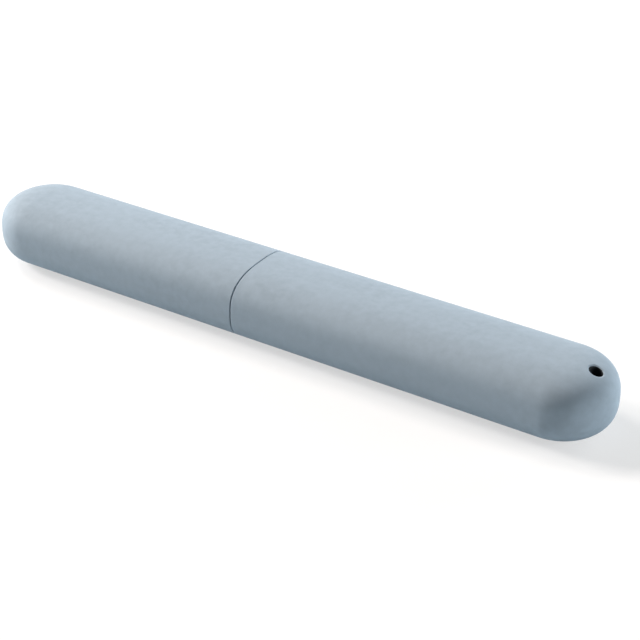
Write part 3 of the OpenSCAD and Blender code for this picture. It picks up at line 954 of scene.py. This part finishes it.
class PEN_OT_brush(bpy.types.Operator):
    """Models the brush: its plug, the crimped ferrule and the hair"""

    bl_idname = "pen.brush"
    bl_label = "Brush"

    BEADS = 2
    BEAD_STEPS = 8
    MOUTH_DEPTH = 3 * MM

    # A hair's mesh: rings along it, sides round it, and its taper at places along it.
    RINGS = 7
    SIDES = 3
    ALONG = np.linspace(0, 1, RINGS)
    TAPER_AT, TAPER = (0, 0.4, 1), (0.8, 1, 0.25)
    # The roots' depth in the ferrule, and their jitter as a share of the pitch.
    SEED = 11
    ROOT_DEPTH = 2 * MM
    JITTER = 0.2
    # Room between the tips and the brush's box, across and up, and how much shorter the outermost are.
    TIP_ROOM = np.array((0.3, 0.2)) * MM
    TIP_DROP = 2.6 * MM
    # How far tips stray, lengths vary and hairs wave, and how a hair waves and bends along itself.
    TIP_STRAY = 0.16 * MM
    LENGTH_STRAY = 0.45 * MM
    WAVE = 0.07 * MM
    WAVE_TURN = 4
    BEND_POWER = 1.15

    def execute(self, context):
        sizes = context.scene.pen_sizes
        colours = context.scene.pen_colours
        refinish(charcoal_finish("charcoal_plug", colours), "brush_plug")
        self.ferrule(sizes, metal_finish(
            "satin_ferrule", colours.ferrule, roughness=0.3, lines=LENGTHWISE_LINES))
        self.hair(sizes, hair_finish(colours))
        return {"FINISHED"}

    def ferrule(self, sizes, material):
        """A drawn tube with crimped beads and an open mouth."""
        foot, mouth = FERRULE_LOW.x, FERRULE_HIGH.x
        r = radius("brush_ferrule") - sizes.bead_step
        bore_r = r - sizes.ferrule_wall
        stations = [(foot, r)]
        for bead in range(1, self.BEADS + 1):
            for step in range(self.BEAD_STEPS + 1):
                turn = step / self.BEAD_STEPS
                x = foot + bead * sizes.bead_pitch + (turn - 0.5) * sizes.bead
                stations.append((x, r + sizes.bead_step * math.sin(math.pi * turn)))
        stations += [*step_at(mouth, r, bore_r), (mouth - self.MOUTH_DEPTH, bore_r)]
        piece = turning("ferrule_tube", stations, half_flat=FERRULE_FLAT, steps=16)
        round_edges(piece, sizes.ferrule_wall / 3)
        smooth(piece)
        settle(piece, "wand", "ferrule_metal", material, "brush_ferrule")

    def hair(self, sizes, material):
        """Some thousands of fine hairs in one mesh, with each one's tone and the places along it."""
        chance = np.random.default_rng(self.SEED)
        points = self.strands(sizes, chance)
        count = len(points)
        mesh = bpy.data.meshes.new("brush_hair")
        mesh.from_pydata(points.reshape(-1, 3).tolist(), [], self.hair_faces(count))
        piece = bpy.data.objects.new("brush_hair", mesh)
        bpy.context.scene.collection.objects.link(piece)
        tone = np.repeat(chance.uniform(0, 1, count), self.RINGS * self.SIDES)
        along = np.tile(np.repeat(self.ALONG, self.SIDES), count)
        for name, values in (("hair_tone", tone), ("hair_along", along)):
            layer = mesh.attributes.new(name, "FLOAT", "POINT")
            layer.data.foreach_set("value", values.astype(np.float32))
        select_only(piece)
        bpy.ops.object.shade_smooth()
        settle(piece, "wand", "goat_hair", material, "brush_bristles")

    def strands(self, sizes, chance):
        """Corners of tapering hairs that spread from the ferrule's mouth, by hair, ring and side."""
        low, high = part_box("brush_bristles")
        mouth = FERRULE_HIGH.x
        root_x = mouth - self.ROOT_DEPTH
        bore_r = radius("brush_ferrule") - sizes.bead_step - sizes.ferrule_wall - 2 * sizes.hair_r
        roots = self.roots(bore_r, sizes.hair_pitch, chance)
        count = len(roots)
        outwards = np.hypot(np.maximum(np.abs(roots[:, 0]) - FERRULE_FLAT, 0), roots[:, 1]) / bore_r
        spread = np.array((high.y - low.y, high.z - low.z)) / 2 - self.TIP_ROOM
        spread /= np.array((FERRULE_FLAT + bore_r, bore_r))
        tips = roots * spread + chance.normal(0, self.TIP_STRAY, (count, 2))
        short = np.abs(chance.normal(0, self.LENGTH_STRAY, count))
        tip_x = high.x - self.TIP_DROP * outwards ** 2 - short
        wave = chance.normal(0, self.WAVE, (count, 2))
        phase = chance.uniform(0, 2 * math.pi, count)
        past_mouth = (self.ALONG * (high.x - root_x) - (mouth - root_x)) / (high.x - mouth)
        bend = np.clip(past_mouth, 0, 1) ** self.BEND_POWER
        across = roots[:, None] + (tips - roots)[:, None] * bend[None, :, None]
        across += wave[:, None] * (np.sin(phase[:, None] + self.WAVE_TURN * self.ALONG) * bend)[:, :, None]
        taper = sizes.hair_r * np.interp(self.ALONG, self.TAPER_AT, self.TAPER)
        angle = phase[:, None] + np.arange(self.SIDES) * 2 * math.pi / self.SIDES
        around = np.stack([np.cos(angle), np.sin(angle)], -1)
        points = np.empty((count, self.RINGS, self.SIDES, 3))
        points[..., 0] = (root_x + (tip_x[:, None] - root_x) * self.ALONG)[:, :, None]
        points[..., 1:] = across[:, :, None] + around[:, None] * taper[None, :, None, None]
        points[..., 2] += AXIS_Z
        return points

    def roots(self, bore_r, pitch, chance):
        """A jittered, staggered grid of roots inside the ferrule's oval, as (y, z)."""
        row_pitch = pitch * math.sin(math.radians(60))
        rows = math.ceil(bore_r / row_pitch)
        cols = math.ceil((FERRULE_FLAT + bore_r) / pitch)
        grid = [((col + 0.5 * (row % 2)) * pitch, row * row_pitch)
                for row in range(-rows, rows + 1) for col in range(-cols, cols + 1)]
        found = np.array([(y, z) for y, z in grid if from_flats(y, z, FERRULE_FLAT) < bore_r])
        return found + chance.uniform(-self.JITTER, self.JITTER, found.shape) * pitch

    def hair_faces(self, count):
        """Faces of one hair, repeated for every hair."""
        sides, rings = self.SIDES, self.RINGS
        one = [(ring * sides + side, ring * sides + (side + 1) % sides,
                (ring + 1) * sides + (side + 1) % sides, (ring + 1) * sides + side)
               for ring in range(rings - 1) for side in range(sides)]
        one.append(tuple(range(sides - 1, -1, -1)))
        one.append(tuple((rings - 1) * sides + side for side in range(sides)))
        return [tuple(v + hair * rings * sides for v in face) for hair in range(count) for face in one]


def direction(turn, rise):
    """The way to a place at a turn from +X about the upright axis and a rise, both in radians."""
    return Vector((math.cos(turn) * math.cos(rise), math.sin(turn) * math.cos(rise), math.sin(rise)))


class PEN_OT_stage(bpy.types.Operator):
    """Sets up the floor, the lights and the camera"""

    bl_idname = "pen.stage"
    bl_label = "Stage"

    CENTRE = Vector((0, 0, AXIS_Z))
    FLOOR_SIZE = 3
    FLOOR_GAP = 0.01 * MM
    # The floor's colours for the light that it throws on the pen and, under its glow, for the eye.
    FLOOR_BOUNCE = (0.72, 0.79, 0.83, 1)
    FLOOR_SEEN = (0.4, 0.4, 0.4, 1)
    # Between these distances from the pen, in metres, the glow rises to full white.
    GLOW_NEAR, GLOW_FAR = 0.2, 0.6
    # Softboxes: turn and rise about the pen in degrees, width in metres, power and colour.
    SOFTBOXES = {
        "key_softbox": (192, 28, 0.27, "key_power", "warm"),
        "top_softbox": (168, 46, 0.27, "top_power", "warm"),
        "back_softbox": (72, 12, 0.45, "back_power", "cool"),
        "fill_softbox": (22, 12, 0.45, "fill_power", "cool"),
    }
    SENSOR_WIDTH = 36
    CLIP_START = 0.01

    def execute(self, context):
        scene, studio = context.scene, context.scene.pen_studio
        scene.view_settings.view_transform = "Standard"
        self.floor(studio)
        self.room(scene, studio)
        for name, (turn, rise, width, power, tint) in self.SOFTBOXES.items():
            place = self.CENTRE + direction(math.radians(turn), math.radians(rise)) * studio.lamp_distance
            self.softbox(name, place, width, getattr(studio, power), getattr(studio, tint))
        self.camera(scene, studio)
        return {"FINISHED"}

    def floor(self, studio):
        """A pale floor that shows white where nothing shades it."""
        floor = primitive("floor", bpy.ops.mesh.primitive_plane_add, size=self.FLOOR_SIZE,
                          location=(0, 0, CAD_BOX[0][2] - self.FLOOR_GAP))
        material = bpy.data.materials.new("pale_floor")
        material.use_nodes = True
        nodes = Wiring(material.node_tree)
        seen = nodes.seen()
        paper = nodes.add("BsdfDiffuse", {"Color": nodes.blend(seen, self.FLOOR_BOUNCE, self.FLOOR_SEEN)})
        away = nodes.add("VectorMath", {0: nodes.coordinates()}, operation="LENGTH").outputs["Value"]
        lift = nodes.spread(away, studio.floor_lift, 1, self.GLOW_NEAR, self.GLOW_FAR)
        glow = nodes.add("Emission", {"Strength": nodes.maths("MULTIPLY", lift, seen)})
        both = nodes.add("AddShader", {0: paper.outputs["BSDF"], 1: glow.outputs["Emission"]})
        nodes.add("OutputMaterial", {"Surface": both.outputs["Shader"]})
        floor.data.materials.append(material)

    def room(self, scene, studio):
        """Even light from all round, with a white background."""
        scene.world = bpy.data.worlds.new("white_room")
        scene.world.use_nodes = True
        nodes = Wiring(scene.world.node_tree)
        strength = nodes.spread(nodes.seen(), studio.ambient, 1, low=0, high=1)
        background = nodes.add("Background", {"Color": (1, 1, 1, 1), "Strength": strength})
        nodes.add("OutputWorld", {"Surface": background.outputs["Background"]})

    def softbox(self, name, place, width, power, tint):
        """A square area light aimed at the pen."""
        light = bpy.data.lights.new(name, "AREA")
        light.size = width
        light.energy = power
        light.color = tint[:3]
        self.aim(bpy.data.objects.new(name, light), place)

    def camera(self, scene, studio):
        """A camera at the photograph's angle, with a small shift for its framing."""
        data = bpy.data.cameras.new("photo_camera")
        data.lens = studio.lens
        data.sensor_width = self.SENSOR_WIDTH
        data.shift_x, data.shift_y = studio.shift
        data.clip_start = self.CLIP_START
        scene.camera = bpy.data.objects.new("photo_camera", data)
        # Azimuth 0 looks along +Y.
        back = direction(studio.azimuth - math.pi / 2, studio.elevation)
        self.aim(scene.camera, self.CENTRE + back * studio.distance)

    def aim(self, thing, place):
        """Puts a lamp or a camera into the scene, turned towards the pen's middle."""
        bpy.context.scene.collection.objects.link(thing)
        thing.location = place
        thing.rotation_euler = (self.CENTRE - place).to_track_quat("-Z", "Y").to_euler()


OPERATORS = (PEN_OT_stage, PEN_OT_shells, PEN_OT_liners, PEN_OT_collar, PEN_OT_tip, PEN_OT_recharge,
             PEN_OT_brush)
GROUPS = {"pen_sizes": PenSizes, "pen_colours": PenColours, "pen_studio": PenStudio}


class PEN_PT_panel(bpy.types.Panel):
    """The pen's operators and settings"""

    bl_idname = "PEN_PT_panel"
    bl_label = "Lens Cleaning Pen"
    bl_space_type = "VIEW_3D"
    bl_region_type = "UI"
    bl_category = "Pen"

    def draw(self, context):
        for operator in OPERATORS:
            self.layout.operator(operator.bl_idname)
        for group, kind in GROUPS.items():
            box = self.layout.box()
            for name in kind.__annotations__:
                box.prop(getattr(context.scene, group), name)


def register():
    for kind in (*GROUPS.values(), *OPERATORS, PEN_PT_panel):
        bpy.utils.register_class(kind)
    for name, kind in GROUPS.items():
        setattr(bpy.types.Scene, name, bpy.props.PointerProperty(type=kind))


def unregister():
    for name in GROUPS:
        delattr(bpy.types.Scene, name)
    for kind in reversed((*GROUPS.values(), *OPERATORS, PEN_PT_panel)):
        bpy.utils.unregister_class(kind)


def main():
    register()
    bpy.ops.pen.stage()
    bpy.ops.pen.shells()
    bpy.ops.pen.liners()
    bpy.ops.pen.collar()
    bpy.ops.pen.tip()
    bpy.ops.pen.recharge()
    bpy.ops.pen.brush()


if __name__ == "__main__":
    main()
